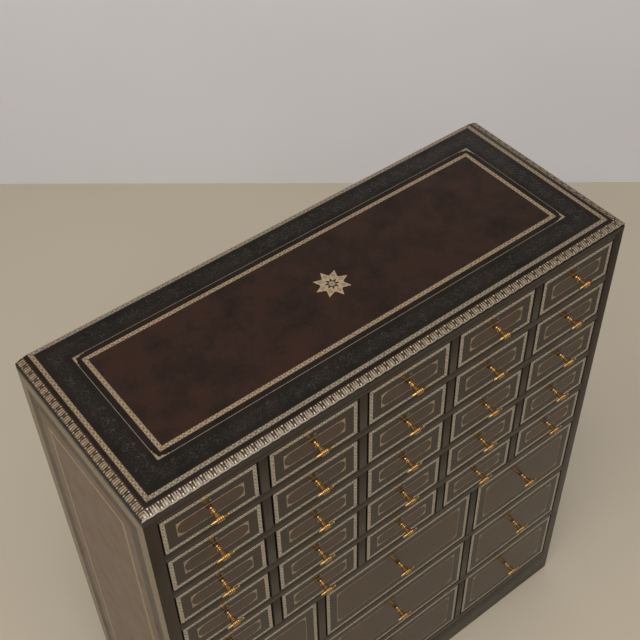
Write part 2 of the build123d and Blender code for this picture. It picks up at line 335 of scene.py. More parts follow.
def guilloche(tree):
    """A chain of ovals with eyes, a knot and buds between them and rims beside it, from 0 to 1."""
    along, across = band_place(tree)
    cell = apart(tree, add(tree, "Math", (along,), operation="FRACT"), 0.5)
    middle = apart(tree, across, 0.5)
    # From the middle of each oval: its eye, the dull ground inside it, the bright strand, the ground outside
    greys = ((0.0, 0.8), (0.09, 0.8), (0.12, 0.2), (0.36, 0.32), (0.4, 1.0), (0.56, 1.0), (0.6, 0.25))
    out = add(tree, "Math", (ellipse_reach(tree, cell, 0.33, middle, 0.21), 0.4), operation="MULTIPLY")
    chain = add(tree, "ValToRGB", (out,), [(position, (grey, grey, grey, 1.0)) for position, grey in greys])
    knot = add(tree, "MapRange", (cell, 0.41, 0.44, 0.0, 1.0))
    bud = ellipse_reach(tree, cell, 0.2, add(tree, "Math", (middle, 0.4), operation="SUBTRACT"), 0.1)
    bud = add(tree, "MapRange", (bud, 0.85, 1.1, 1.0, 0.0))
    rim = add(tree, "MapRange", (middle, 0.455, 0.47, 0.0, 0.75))
    for form in (knot, bud, rim):
        chain = add(tree, "Math", (chain, form), operation="MAXIMUM")
    return chain


def gilding(name, gold, thin=1.0, chain=False):
    """Gold leaf pressed into leather and toned: metal in the pattern, leather in the cuts between."""
    tree = new_tree(name)
    place = place_of(tree)
    wear = add(tree, "TexNoise", {"Vector": place, "Scale": 1 / GOLD_WEAR, "Detail": 4.0, "Roughness": 0.6})
    leaf = guilloche(tree) if chain else add(tree, "MapRange", (wear, 0.25, 0.4, 0.55, 1.0))
    worn = add(tree, "MapRange", (wear, 0.30, 0.46, 0.35, 1.0))
    cover = add(tree, "Math", (leaf, worn), operation="MULTIPLY")
    cover = add(tree, "Math", (cover, thin), operation="MULTIPLY")
    dull = tinted(gold, (0.55, 0.55, 0.55))
    metal = add(tree, "Mix", {"Factor": wear, "A": dull, "B": gold}, data_type="RGBA")
    tone = add(tree, "Mix", {"Factor": cover, "A": colours().edge_dark, "B": metal}, data_type="RGBA")
    bump = add(tree, "Bump", {"Height": cover, "Strength": 0.5, "Distance": 0.15 * MM})
    shine = add(tree, "Math", (cover, 0.3), operation="MULTIPLY")
    rough = add(tree, "MapRange", (cover, 0.0, 1.0, 0.45, 0.38))
    shader = add(
        tree, "BsdfPrincipled", {"Base Color": tone, "Metallic": shine, "Roughness": rough, "Normal": bump}
    )
    add(tree, "OutputMaterial", (shader,))


def wood(name, dark, light, axis, gloss=0.48):
    """Stained hardwood, planed and sealed: straight grain along one axis, with pores and growth bands."""
    tree = new_tree(name)
    place = place_of(tree, tuple(0.06 if letter == axis else 1.0 for letter in "xyz"))
    bands = add(
        tree, "TexNoise", {"Vector": place, "Scale": 1 / GROWTH_BAND, "Detail": 3.0, "Roughness": 0.5}
    )
    fibres = add(
        tree, "TexNoise", {"Vector": place, "Scale": 1 / WOOD_FIBRE, "Detail": 4.0, "Roughness": 0.6}
    )
    fine = add(tree, "Math", (fibres, 0.4), operation="MULTIPLY")
    figure = add(tree, "Math", (bands, 0.6, fine), operation="MULTIPLY_ADD")
    tone = add(tree, "ValToRGB", (figure,), ((0.34, dark), (0.62, light)))
    bump = add(tree, "Bump", {"Height": fibres, "Strength": 0.2, "Distance": 0.1 * MM})
    rough = add(tree, "MapRange", (fibres, 0.3, 0.7, gloss + 0.1, gloss - 0.05))
    shader = add(tree, "BsdfPrincipled", {"Base Color": tone, "Roughness": rough, "Normal": bump})
    add(tree, "OutputMaterial", (shader,))


def brass(bright):
    """Cast brass, polished: bright on the high places, with casting marks and tarnish in the hollows."""
    tree = new_tree("brass_cast_polished")
    place = place_of(tree)
    cloud = add(
        tree, "TexNoise", {"Vector": place, "Scale": 1 / CASTING_CLOUD, "Detail": 4.0, "Roughness": 0.55}
    )
    pits = add(
        tree, "TexNoise", {"Vector": place, "Scale": 1 / CASTING_PIT, "Detail": 2.0, "Roughness": 0.55}
    )
    high = add(tree, "NewGeometry").outputs["Pointiness"]
    hollow = add(tree, "Math", (0.5, high), operation="SUBTRACT")
    tarnish = add(tree, "MapRange", (hollow, 0.0, 0.06, 0.0, 0.8))
    deep = tinted(bright, (0.33, 0.25, 0.15))
    tone = add(tree, "Mix", {"Factor": tarnish, "A": bright, "B": deep}, data_type="RGBA")
    bump = add(tree, "Bump", {"Height": pits, "Strength": 0.12, "Distance": 0.08 * MM})
    rough = add(tree, "MapRange", (cloud, 0.3, 0.7, 0.37, 0.48))
    shader = add(
        tree, "BsdfPrincipled", {"Base Color": tone, "Metallic": 1.0, "Roughness": rough, "Normal": bump}
    )
    add(tree, "OutputMaterial", (shader,))


def turned_metal(name, grey, gloss):
    """Turned steel or nickel: fine lathe marks over an even grey."""
    tree = new_tree(name)
    place = place_of(tree)
    marks = add(
        tree, "TexNoise", {"Vector": place, "Scale": 1 / LATHE_MARK, "Detail": 3.0, "Roughness": 0.55}
    )
    tone = add(tree, "ValToRGB", (marks,), ((0.3, grey), (0.7, tinted(grey, (1.3, 1.3, 1.3)))))
    bump = add(tree, "Bump", {"Height": marks, "Strength": 0.1, "Distance": 0.05 * MM})
    rough = add(tree, "MapRange", (marks, 0.3, 0.7, gloss, gloss + 0.1))
    shader = add(
        tree, "BsdfPrincipled", {"Base Color": tone, "Metallic": 1.0, "Roughness": rough, "Normal": bump}
    )
    add(tree, "OutputMaterial", (shader,))


def nylon(dark, light):
    """Injection-moulded nylon: an even black with the fine spark texture of its mould."""
    tree = new_tree("nylon_moulded_black")
    place = place_of(tree)
    spark = add(tree, "TexNoise", {"Vector": place, "Scale": 1 / SPARK, "Detail": 2.0, "Roughness": 0.55})
    cloud = add(
        tree, "TexNoise", {"Vector": place, "Scale": 1 / NYLON_CLOUD, "Detail": 4.0, "Roughness": 0.55}
    )
    tone = add(tree, "ValToRGB", (cloud,), ((0.3, dark), (0.7, light)))
    bump = add(tree, "Bump", {"Height": spark, "Strength": 0.2, "Distance": 0.05 * MM})
    rough = add(tree, "MapRange", (spark, 0.3, 0.7, 0.5, 0.62))
    shader = add(tree, "BsdfPrincipled", {"Base Color": tone, "Roughness": rough, "Normal": bump})
    add(tree, "OutputMaterial", (shader,))


def paint(name, tone, rough):
    """Matt wall and floor paint: an even colour with the faintest clouding."""
    tree = new_tree(name)
    place = place_of(tree)
    cloud = add(
        tree, "TexNoise", {"Vector": place, "Scale": 1 / PAINT_CLOUD, "Detail": 2.0, "Roughness": 0.55}
    )
    stops = ((0.3, tinted(tone, (0.97, 0.97, 0.97))), (0.7, tuple(tone)))
    clouded = add(tree, "ValToRGB", (cloud,), stops)
    shader = add(tree, "BsdfPrincipled", {"Base Color": clouded, "Roughness": rough})
    add(tree, "OutputMaterial", (shader,))


class CHEST_OT_finishes(bpy.types.Operator):
    """Make every material of the chest"""

    bl_idname = "chest.finishes"
    bl_label = "Finishes"

    def execute(self, context):
        c = colours()
        # Leather of the top: its field, its tooled border, the ledge round it, the ground of its moulding
        leather("leather_brown_field", c.field_dark, c.field_light, 0.2)
        leather("leather_black_blind_tooled", c.border_dark, c.border_light, 0.24, blind=True)
        leather("leather_brown_ledge", c.ledge_dark, c.ledge_light, 0.24)
        leather("leather_brown_moulding", c.moulding_dark, c.moulding_light, 0.34)
        # Leather of the drawer fronts: the border and the field inside the frame
        leather("leather_brown_deep", c.deep_dark, c.deep_light, 0.24)
        leather("leather_brown_front", c.front_dark, c.front_light, 0.2)
        # Leather of the end panels, the field and the border: the same leather painted paler than the rest,
        # as painted light and reflection from the left
        leather("leather_brown_side", c.side_field_sheen_dark, c.side_field_sheen_light, 0.32)
        leather("leather_brown_black_side", c.side_border_sheen_dark, c.side_border_sheen_light, 0.38)
        # Leather of the rails and edges, and what is turned in round them, matt and dark; the turned-in
        # leather is darker turned-in leather and painted shade in the gaps and under the lip
        leather("leather_brown_edge", c.edge_dark, c.edge_light, 0.36)
        leather("leather_turned_in", c.turned_in_shade_dark, c.turned_in_shade_light, 0.6)
        # Guilloche bands: inside the top, round its back and front, at its ends, and on the drawer fronts
        gilding("gilding_guilloche", c.gilt, 0.84, chain=True)
        gilding("gilding_guilloche_pale", c.gilt_pale, 0.7, chain=True)
        gilding("gilding_guilloche_end", c.gilt, 0.74, chain=True)
        gilding("gilding_guilloche_front", c.gilt_front, chain=True)
        # Plain gilding, from the fullest cover to the thinnest; the brightest is a painted highlight on the
        # darts' tips and balls
        gilding("gilding_bright", c.gilt_painted_highlight)
        gilding("gilding_plain", c.gilt, 0.85)
        gilding("gilding_pale", c.gilt_pale, 0.84)
        gilding("gilding_line", c.gilt, 0.72)
        gilding("gilding_rim", c.gilt_pale, 0.64)
        gilding("gilding_side", c.gilt, 0.54)
        gilding("gilding_worn", c.gilt_pale, 0.5)
        gilding("gilding_dull", c.gilt_pale, 0.33)
        # The faintest gilding darkens the leaves at the ends of the top, as painted shade
        gilding("gilding_faint", c.gilt, 0.24)
        for axis in "xyz":
            wood("hardwood_stained_" + axis, c.wood_dark, c.wood_light, axis)
        wood("back_board_stained", c.back_dark, c.back_light, "z", 0.6)
        brass(c.brass)
        turned_metal("steel_screw", c.steel, 0.3)
        turned_metal("nickel_pin", c.nickel, 0.32)
        nylon(c.nylon_dark, c.nylon_light)
        return {"FINISHED"}


# Mesh work


LEAN = 0.06 * MM
ARC_STEPS = 8


def start():
    """An empty mesh in the making, with a layer for the places along tooled bands."""
    bm = bmesh.new()
    return bm, bm.loops.layers.uv.new("tooling")


def piece(name, bm, materials, body, replaces=(), smooth=32.0):
    """Turn a bmesh into a piece that rides on a body."""
    mesh = bpy.data.meshes.new(name)
    bm.to_mesh(mesh)
    bm.free()
    for material in materials:
        mesh.materials.append(bpy.data.materials[material])
    mesh.shade_smooth()
    mesh.set_sharp_from_angle(angle=math.radians(smooth))
    obj = bpy.data.objects.new(name, mesh)
    bpy.context.scene.collection.objects.link(obj)
    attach(obj, body)
    if replaces:
        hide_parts(*replaces)


def face(bm, corners, material=0, uv=None, places=()):
    """A face of a finish, with the places of its corners along and across a band if they are given."""
    made = bm.faces.new(corners)
    made.material_index = material
    for loop, place in zip(made.loops, places):
        loop[uv].uv = place


def ring(bm, uv, outer, inner, material, pitch):
    """A mitred ring between two rows of points, with repeats counted along each side."""
    for n in range(len(outer)):
        m = (n + 1) % len(outer)
        a, b, c, d = outer[n], outer[m], inner[m], inner[n]
        along = (b.co - a.co).normalized()
        middle = (a.co + b.co) / 2
        span = (b.co - a.co).length
        scale = max(1, round(span / pitch)) / span
        places = [((v.co - middle).dot(along) * scale, w) for v, w in ((a, 0), (b, 0), (c, 1), (d, 1))]
        face(bm, (a, b, c, d), material, uv, places)


def block(bm, low, high, material=0, bevel=0.0):
    """A board between two corners, with its edges eased."""
    made = bmesh.ops.create_cube(bm, size=1.0)["verts"]
    for v in made:
        v.co = Vector(low[i] if v.co[i] < 0 else high[i] for i in range(3))
    faces = {f for v in made for f in v.link_faces}
    for f in faces:
        f.material_index = material
    if bevel:
        edges = list({e for f in faces for e in f.edges})
        done = bmesh.ops.bevel(bm, geom=edges, offset=bevel, segments=2, affect="EDGES", profile=0.5)
        for f in done["faces"]:
            f.material_index = material


def rings_to_skin(bm, rings, material=0):
    """Join rings of as many points each into a closed skin."""
    rows = [[bm.verts.new(p) for p in points] for points in rings]
    made = [bm.faces.new(list(reversed(rows[0]))), bm.faces.new(rows[-1])]
    for low, high in zip(rows, rows[1:]):
        for n in range(len(low)):
            m = (n + 1) % len(low)
            made.append(bm.faces.new((low[n], low[m], high[m], high[n])))
    for f in made:
        f.material_index = material
    bmesh.ops.recalc_face_normals(bm, faces=made)


def prism(bm, outline, low, high, material=0):
    """A board of any outline, drawn in depth and height, between two places across."""
    rings_to_skin(bm, [[(x, y, z) for y, z in outline] for x in (low, high)], material)


def turned(bm, profile, origin, axis, sides=20, material=0):
    """A turned form from (distance along its axis, radius) pairs in millimetres."""
    axis = Vector(axis)
    across = axis.orthogonal().normalized()
    up = axis.cross(across)
    rings = []
    for reach, radius in millimetres(profile):
        middle = Vector(origin) + axis * reach
        radius = max(radius, 0.001 * MM)
        angles = (2 * math.pi * n / sides for n in range(sides))
        rings.append([middle + (across * math.cos(a) + up * math.sin(a)) * radius for a in angles])
    rings_to_skin(bm, rings, material)


def raised(bm, outline, place, height, material, inset=0.12 * MM):
    """A pressed or gilt motif: its outline at leather level and a smaller one on top."""
    middle = Vector((sum(p[0] for p in outline) / len(outline), sum(p[1] for p in outline) / len(outline)))
    low = [bm.verts.new(place(p[0], p[1], 0.0)) for p in outline]
    top = []
    for p in outline:
        inward = middle - Vector(p)
        step = inward.normalized() * min(inset, inward.length * 0.3)
        top.append(bm.verts.new(place(p[0] + step.x, p[1] + step.y, height)))
    for n in range(len(outline)):
        m = (n + 1) % len(outline)
        face(bm, (low[n], low[m], top[m], top[n]), material)
    flat = bm.faces.new(top)
    flat.material_index = material
    bmesh.ops.triangulate(bm, faces=[flat])


def face_up(bm):
    """Turn the faces of a tooling that lies flat so that they look up."""
    bmesh.ops.recalc_face_normals(bm, faces=bm.faces[:])
    for f in bm.faces:
        if f.normal.z < -0.2:
            f.normal_flip()


def rounded(points):
    """A closed outline with its corners cut off at a quarter of each side."""
    points = [Vector(p) for p in points]
    return [a.lerp(b, part) for a, b in zip(points, points[1:] + points[:1]) for part in (0.25, 0.75)]


def plane(origin, along, up, out):
    """A function that puts a point of a panel in the model."""
    origin, along, up, out = (Vector(v) for v in (origin, along, up, out))
    return lambda a, b, h=0.0: origin + along * a + up * b + out * h


def rectangle(bm, place, half_a, half_b, inset, height):
    """Four corners of a panel, at an inset from its edges."""
    corners = ((sa * (half_a - inset), sb * (half_b - inset)) for sa, sb in CORNERS)
    return [bm.verts.new(place(a, b, height)) for a, b in corners]


# A tooled panel's finishes are its edge, gilt band, border, gilt line and field, in this order
EDGE, BAND, BORDER, LINE, FIELD = range(5)


def tooled_panel(bm, uv, place, half_a, half_b, depth, widths, corner, ground):
    """A leather panel: rounded edge, gilt band, border, and a frame with filled round corners.

    widths gives the band's end, the border's end, the frame's start and the width of the frame's line,
    corner the half axes of the frame's round corners, and ground the finish between border and frame.
    """
    t = tooling()
    edge, rise = t.edge, t.relief
    band_end, border_end, frame_start, line_width = widths
    steps = (
        (0.0, -depth, EDGE),
        (0.0, -edge, EDGE),
        (edge * 0.3, -edge * 0.3, EDGE),
        (edge, 0.0, EDGE),
        (edge + LEAN, rise, BAND),
        (band_end, rise, BAND),
        (band_end + LEAN, 0.0, BORDER),
        (border_end, 0.0, BORDER),
        (frame_start, 0.0, ground),
        (frame_start + LEAN, rise, LINE),
    )
    rows = [rectangle(bm, place, half_a, half_b, inset, height) for inset, height, _ in steps]
    for outer, inner, step in zip(rows, rows[1:], steps[1:]):
        ring(bm, uv, outer, inner, step[2], t.band_pitch * (band_end - edge) / t.band)
    across, up = corner
    a, b = half_a - frame_start - line_width, half_b - frame_start - line_width

    def arc(n, level):
        sa, sb = CORNERS[n]
        angles = (math.pi * (1 + n / 2 + k / ARC_STEPS / 2) for k in range(ARC_STEPS + 1))
        return [bm.verts.new(place(sa * (a - across) + math.cos(angle) * across,
                                   sb * (b - up) + math.sin(angle) * up, level)) for angle in angles]

    high, low = ([arc(n, level) for n in range(4)] for level in (rise, 0.0))
    outer = rows[-1]
    for n in range(4):
        m = (n + 1) % 4
        face(bm, (outer[n], outer[m], high[m][0], high[n][-1]), LINE)
        for k in range(ARC_STEPS):
            face(bm, (outer[n], high[n][k + 1], high[n][k]), LINE)
            face(bm, (high[n][k], high[n][k + 1], low[n][k + 1], low[n][k]), LINE)
        face(bm, (high[n][-1], high[m][0], low[m][0], low[n][-1]), LINE)
    face(bm, [v for points in low for v in points], FIELD)


# The drawers


# After the five of a tooled panel come the board's wood and the pin's nickel
# The edge finish is the near-black turned-in leather, which also paints the shade in the gaps round each
# drawer
FRONT_FINISHES = (
    "leather_turned_in",
    "gilding_guilloche_front",
    "leather_brown_deep",
    "gilding_line",
    "leather_brown_front",
    "hardwood_stained_x",
    "nickel_pin",
)
FRONT_WOOD, FRONT_PIN = 5, 6
SIDE_WOOD, BACK_WOOD, BOTTOM_WOOD = range(3)
BRASS, STEEL, SLOT_SHADE = range(3)
FRONT_BOARD = 16 * MM
FRONT_LAP = 5 * MM
FRONT_SET_BACK = 0.6 * MM
FRONT_EASE = 0.8 * MM
FRONT_RISE = 0.5 * MM
BAND_CLEAR = 0.3 * MM
BORDER_END = 1.0 * MM
FRONT_BACKING = 0.5 * MM
BOARD_EASE = 0.4 * MM
BOX_BOARD = 8 * MM
BOX_LENGTH = 322 * MM
BOTTOM_RISE = 7.2 * MM
BOTTOM_BOARD = 4 * MM
SMALL_BOX = 64 * MM
LARGE_BOX = 126 * MM
PIN_RISE = 22.3 * MM
PIN_ASIDE = 0.8 * MM
PIN_STRETCH = 1.5
PULL_RISE = 2 * MM
ROD_REACH = 21.0
ROD_RADIUS = 2.0
ROD_LENGTH = 31.0
FINGER_PITCH = 3.1
FINGER_THICK = 1.1
FINGER_STEPS = 16


def drawer_sizes(node):
    """A drawer's middle, the bottom and top of its front, its half width and its box height."""
    low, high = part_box(node)
    bottom = low.z + FRONT_RISE
    middle = Vector(((low.x + high.x) / 2, FRONT_Y, (bottom + high.z) / 2))
    return middle, bottom, high.z, (high.x - low.x) / 2, LARGE_BOX if node in LARGE else SMALL_BOX


def front_mesh(node):
    """The front board, clad in tooled leather, with its wooden back showing behind the lap."""
    t = tooling()
    middle, low, high, half, box = drawer_sizes(node)
    bm, uv = start()
    place = plane(middle + Vector((0, FRONT_SET_BACK, 0)), (1, 0, 0), (0, 0, 1), (0, -1, 0))
    lap = FRONT_BOARD - FRONT_LAP
    widths = (t.band + BAND_CLEAR, t.band + BORDER_END, t.frame_inset, t.line)
    eased = half - FRONT_EASE
    corner = (t.corner_across, t.corner_up)
    tooled_panel(bm, uv, place, eased, (high - low) / 2, lap - FRONT_SET_BACK, widths, corner, BORDER)
    y0, y1 = FRONT_Y + lap, FRONT_Y + FRONT_BOARD
    inner = half - BOX_BOARD
    block(bm, (middle.x - eased, y0 - FRONT_BACKING, low), (middle.x + eased, y0, high), FRONT_WOOD)
    block(bm, (middle.x - inner, y0, low), (middle.x + inner, y1, high), FRONT_WOOD, BOARD_EASE)
    box_top = low - FRONT_RISE + box
    for sign in (-1, 1):
        a, b = sorted((middle.x + sign * inner, middle.x + sign * half))
        block(bm, (a, y0, box_top), (b, y1, high), FRONT_WOOD, BOARD_EASE)
    if node in SMALL:
        # A domed nickel pin above the pull, half as high again as it is wide
        dome = [(-0.3, 1.9), (0.0, 1.9), (0.35, 1.7), (0.6, 1.2), (0.72, 0.5), (0.74, 0.0)]
        first = len(bm.verts)
        pin_z = middle.z + PIN_RISE
        turned(bm, dome, place(PIN_ASIDE, PIN_RISE), (0, -1, 0), 14, FRONT_PIN)
        bm.verts.ensure_lookup_table()
        for v in bm.verts[first:]:
            v.co.z = pin_z + (v.co.z - pin_z) * PIN_STRETCH
    return bm


def box_mesh(node):
    """The drawer box: two sides tailed into the back, and a bottom between them."""
    middle, low, high, half, box = drawer_sizes(node)
    bm, _ = start()
    z0 = low - FRONT_RISE
    z1 = z0 + box
    y0 = FRONT_Y + FRONT_BOARD - FRONT_LAP
    y1 = FRONT_Y + BOX_LENGTH
    root = y1 - BOX_BOARD
    bottom = low + BOTTOM_RISE
    bottom_top = bottom + BOTTOM_BOARD
    tails = 5 if node in LARGE else 3
    pitch = box / tails
    narrow, wide = pitch * 0.28, pitch * 0.38
    outline = [(y0, z0), (root, z0)]
    pins = []
    last = (z0, z0)
    for n in range(tails):
        z = z0 + pitch * (n + 0.5)
        outline += [(root, z - narrow), (y1, z - wide), (y1, z + wide), (root, z + narrow)]
        pins.append([(root, last[0]), (root, z - narrow), (y1, z - wide), (y1, last[1])])
        last = (z + narrow, z + wide)
    pins.append([(root, last[0]), (root, z1), (y1, z1), (y1, last[1])])
    outline += [(root, z1), (y0, z1)]
    shoulder = half - BOX_BOARD
    for sign in (-1, 1):
        a, b = sorted((middle.x + sign * shoulder, middle.x + sign * half))
        prism(bm, outline, a, b, SIDE_WOOD)
        for pin in pins:
            prism(bm, pin, a, b, BACK_WOOD)
    left, right = middle.x - shoulder, middle.x + shoulder
    block(bm, (left, root, bottom_top), (right, y1, z1), BACK_WOOD, BOARD_EASE)
    block(bm, (left, FRONT_Y + FRONT_BOARD, bottom), (right, y1 - 0.2 * MM, bottom_top), BOTTOM_WOOD)
    return bm


def oval(middle, half_x, half_z, sides=20, power=2.6):
    """A ring of points of a rounded section, square to the pull's arm."""
    points = []
    for n in range(sides):
        a = 2 * math.pi * n / sides
        across, up = (math.copysign(abs(v) ** (2 / power), v) for v in (math.cos(a), math.sin(a)))
        points.append(middle + Vector((across * half_x, 0, up * half_z)))
    return points


def finger_rings(middle, x, last):
    """Rings of one finger, from the knuckle over the front to its tip under the rod, at an angle last."""
    rings = []
    for k in range(FINGER_STEPS + 1):
        t = k / FINGER_STEPS
        a = math.radians(-32 + (last + 32) * t)
        swell = 1.0 + 0.07 * math.cos((a - math.radians(28)) * 6 / 2.3)
        tip = math.sqrt(max(0.0, 1 - ((t - 0.86) / 0.14) ** 2)) if t > 0.86 else 1.0
        thick = 1.18 * swell * max(tip, 0.12)
        wide = 1.5 * (0.97 + 0.03 * swell) * max(tip, 0.15)
        out = Vector((0, -math.sin(a), math.cos(a)))
        centre = middle + Vector((x * MM, -ROD_REACH * MM, 0)) + out * (ROD_RADIUS + FINGER_THICK) * MM
        turn = (2 * math.pi * n / 12 for n in range(12))
        rings.append([centre + Vector((math.cos(b) * wide * MM, 0, 0)) + out * (math.sin(b) * thick * MM)
                      for b in turn])
    return rings


def pull_mesh(node):
    """The cast pull: a beaded cuff, an arm, and a fist whose four fingers close round a rod."""
    bm, _ = start()
    middle = drawer_sizes(node)[0] + Vector((0, 0, PULL_RISE))
    cuff = [(-0.9, 3.3), (0.5, 3.4), (0.8, 3.1), (2.4, 2.9), (3.1, 3.3), (3.5, 4.1), (4.0, 4.5), (4.6, 4.6),
            (5.2, 4.5), (5.7, 4.0), (5.9, 3.2), (6.2, 3.0), (6.5, 3.2), (6.9, 3.4), (7.3, 3.4), (7.6, 3.2),
            (8.3, 3.2)]
    turned(bm, cuff, middle, (0, -1, 0), 20, BRASS)
    # The arm and the back of the hand, by distance, half width, half height and rise of the middle
    hand = ((8.0, 3.2, 2.7, 0.0), (9.5, 3.6, 2.8, 0.0), (11.5, 4.1, 2.9, 0.05), (13.5, 4.7, 3.0, 0.15),
            (15.5, 5.3, 3.0, 0.25), (17.2, 5.8, 3.0, 0.35), (18.4, 6.1, 2.6, 0.9), (19.6, 6.1, 1.8, 1.9),
            (21.0, 6.0, 1.1, 2.8), (22.0, 5.8, 0.6, 2.85))
    rings_to_skin(bm, [oval(middle + Vector((0, -d, z)), w, h) for d, w, h, z in millimetres(hand)], BRASS)
    for n, last in enumerate((206, 236, 230, 200)):
        rings_to_skin(bm, finger_rings(middle, (n - 1.5) * FINGER_PITCH, last), BRASS)
    end = [(0, 0), (0.1, 1.1), (0.5, 1.7), (1.1, 2.0), (2.0, 2.0), (2.2, 1.82), (2.5, 1.82), (2.7, 2.0)]
    rod = end + [(ROD_LENGTH - d, r) for d, r in reversed(end)]
    rod_start = middle + Vector((-ROD_LENGTH / 2, -ROD_REACH, 0)) * MM
    turned(bm, rod, rod_start, (1, 0, 0), 16, BRASS)
    # The washer and the domed, slotted screw that hold it from inside the drawer
    seat = middle + Vector((0, FRONT_BOARD, 0))
    turned(bm, ((-0.2, 6.0), (0.9, 6.0), (1.1, 5.7), (1.1, 4.4)), seat, (0, 1, 0), 24, STEEL)
    turned(bm, ((0.9, 4.2), (1.6, 4.2), (2.4, 3.6), (2.9, 2.4), (3.1, 1.0)), seat, (0, 1, 0), 24, STEEL)
    # The slot is a black nylon bar across the domed head, a dark part put in as painted shade in the slot
    block(bm, seat + Vector((-3.6, 2.2, -0.4)) * MM, seat + Vector((3.6, 3.12, 0.4)) * MM, SLOT_SHADE)
    return bm


class CHEST_OT_drawer_fronts(bpy.types.Operator):
    """Build the leather-clad front of each drawer, with its gilt band and frame"""

    bl_idname = "chest.drawer_fronts"
    bl_label = "Drawer fronts"

    def execute(self, context):
        for node in SMALL + LARGE:
            piece(node + "_front", front_mesh(node), FRONT_FINISHES, node + "_body", (node,))
        return {"FINISHED"}


class CHEST_OT_drawer_boxes(bpy.types.Operator):
    """Build the dovetailed wooden box of each drawer"""

    bl_idname = "chest.drawer_boxes"
    bl_label = "Drawer boxes"

    def execute(self, context):
        woods = ("hardwood_stained_y", "hardwood_stained_x", "back_board_stained")
        for node in SMALL + LARGE:
            piece(node + "_box", box_mesh(node), woods, node + "_body")
        return {"FINISHED"}


class CHEST_OT_pulls(bpy.types.Operator):
    """Cast the brass hand pull of each drawer, with the screw that holds it"""

    bl_idname = "chest.pulls"
    bl_label = "Hand pulls"

    def execute(self, context):
        metals = ("brass_cast_polished", "steel_screw", "nylon_moulded_black")
        for node in SMALL + LARGE:
            piece(node + "_pull", pull_mesh(node), metals, node + "_body", smooth=50.0)
        return {"FINISHED"}


# The top


TOP_FINISHES = (
    "leather_brown_edge",
    "leather_turned_in",
    "leather_brown_moulding",
    "leather_brown_ledge",
    "gilding_guilloche_pale",
    "gilding_guilloche_end",
    "leather_black_blind_tooled",
    "gilding_worn",
    "gilding_guilloche",
    "leather_brown_field",
    "hardwood_stained_x",
)
LIP, SHADOW, LEAF_GROUND, LEDGE, OUTER_BAND, END_BAND = range(6)
BLIND, THIN_LINE, INNER_BAND, TOP_FIELD, UNDERSIDE = range(6, 11)
LEDGE_DROP = 1.2 * MM
LIP_DROP = 6.0 * MM
LEAF_RUN = 15.0 * MM
LEAF_CROWN = 0.9 * MM
LEAF_STEPS = 10
SHADOW_DEPTH = 1.8 * MM
SLOPE = 0.1 * MM
THIN_LINE_WIDTH = 0.8 * MM
OUTER_BAND_START = -0.8 * MM
VINE_REPEAT = 26 * MM


def mould_drop(out):
    """How far the moulded edge lies below the flat, at a distance out from it."""
    fillet = tooling().moulding - LEAF_RUN
    if out <= fillet:
        return LEDGE_DROP * out / fillet
    t = (out - fillet) / LEAF_RUN
    return LEDGE_DROP + (LIP_DROP - LEDGE_DROP) * t - 4 * LEAF_CROWN * t * (1 - t)


def top_corners(bm, inset, z, back_inset=0.0):
    """Four corners of the top's plan, at an inset from its outer edges and another from its back."""
    x, front, back = HALF_WIDTH - inset, FRONT_Y + inset, BACK_Y - back_inset
    return [bm.verts.new(p) for p in ((-x, front, z), (x, front, z), (x, back, z), (-x, back, z))]


def top_mesh():
    """The top board: lip, leaf moulding, fillet and the tooled flat in mitred rings."""
    t = tooling()
    bm, uv = start()
    run = t.moulding
    flat_z = TOP_Z - t.relief
    lip_z = TOP_Z - LIP_DROP
    # Each row has its inset from the edge, its height and the finish that leads up to it
    edge = [
        (0.0, BOARD_Z, LIP),
        (0.0, BOARD_Z + 8.0 * MM, LIP),
        (SHADOW_DEPTH, BOARD_Z + 9.0 * MM, SHADOW),
        (SHADOW_DEPTH, lip_z - 2.0 * MM, SHADOW),
        (0.0, lip_z - 0.5 * MM, SHADOW),
        (0.15 * MM, lip_z - 0.1 * MM, LEDGE),
    ]
    for n in range(LEAF_STEPS + 1):
        inset = LEAF_RUN * n / LEAF_STEPS if n else 0.5 * MM
        edge.append((inset, flat_z - mould_drop(run - inset) - 0.1 * MM, LEAF_GROUND))
    edge += [
        (LEAF_RUN + 0.2 * MM, flat_z - LEDGE_DROP + 0.3 * MM, LEDGE),
        (run + OUTER_BAND_START - SLOPE, flat_z - 0.02 * MM, LEDGE),
        (run + OUTER_BAND_START, TOP_Z, OUTER_BAND),
    ]
    flat = (
        (t.band + OUTER_BAND_START, TOP_Z, OUTER_BAND),
        (t.band + OUTER_BAND_START + SLOPE, flat_z, BLIND),
        (t.top_line - SLOPE, flat_z, BLIND),
        (t.top_line, TOP_Z, THIN_LINE),
        (t.top_line + THIN_LINE_WIDTH - SLOPE, TOP_Z, THIN_LINE),
        (t.top_line + THIN_LINE_WIDTH, flat_z, TOP_FIELD),
        (t.top_band - SLOPE, flat_z, LEDGE),
        (t.top_band, TOP_Z, INNER_BAND),
        (t.top_band + t.band, TOP_Z, INNER_BAND),
        (t.top_band + t.band + SLOPE, flat_z, TOP_FIELD),
    )
    rows = [(top_corners(bm, inset, z), mark) for inset, z, mark in edge]
    rows += [(top_corners(bm, run + inset, z, inset - OUTER_BAND_START), mark) for inset, z, mark in flat]
    pitches = {INNER_BAND: t.band_pitch, OUTER_BAND: t.band_pitch, BLIND: VINE_REPEAT}
    for (outer, _), (inner, mark) in zip(rows, rows[1:]):
        ring(bm, uv, outer, inner, mark, pitches.get(mark, 10 * MM))
    face(bm, rows[-1][0], TOP_FIELD)
    face(bm, list(reversed(rows[0][0])), UNDERSIDE)
    # At the two ends the lip is gilt, where it carries on the end panels' bands, and the outer band warmer
    for f in bm.faces:
        if f.material_index == LIP and abs(f.normal.x) > 0.9:
            f.material_index = THIN_LINE
        if f.material_index == OUTER_BAND and abs(f.calc_center_median().x) > HALF_WIDTH / 2:
            f.material_index = END_BAND
    return bm


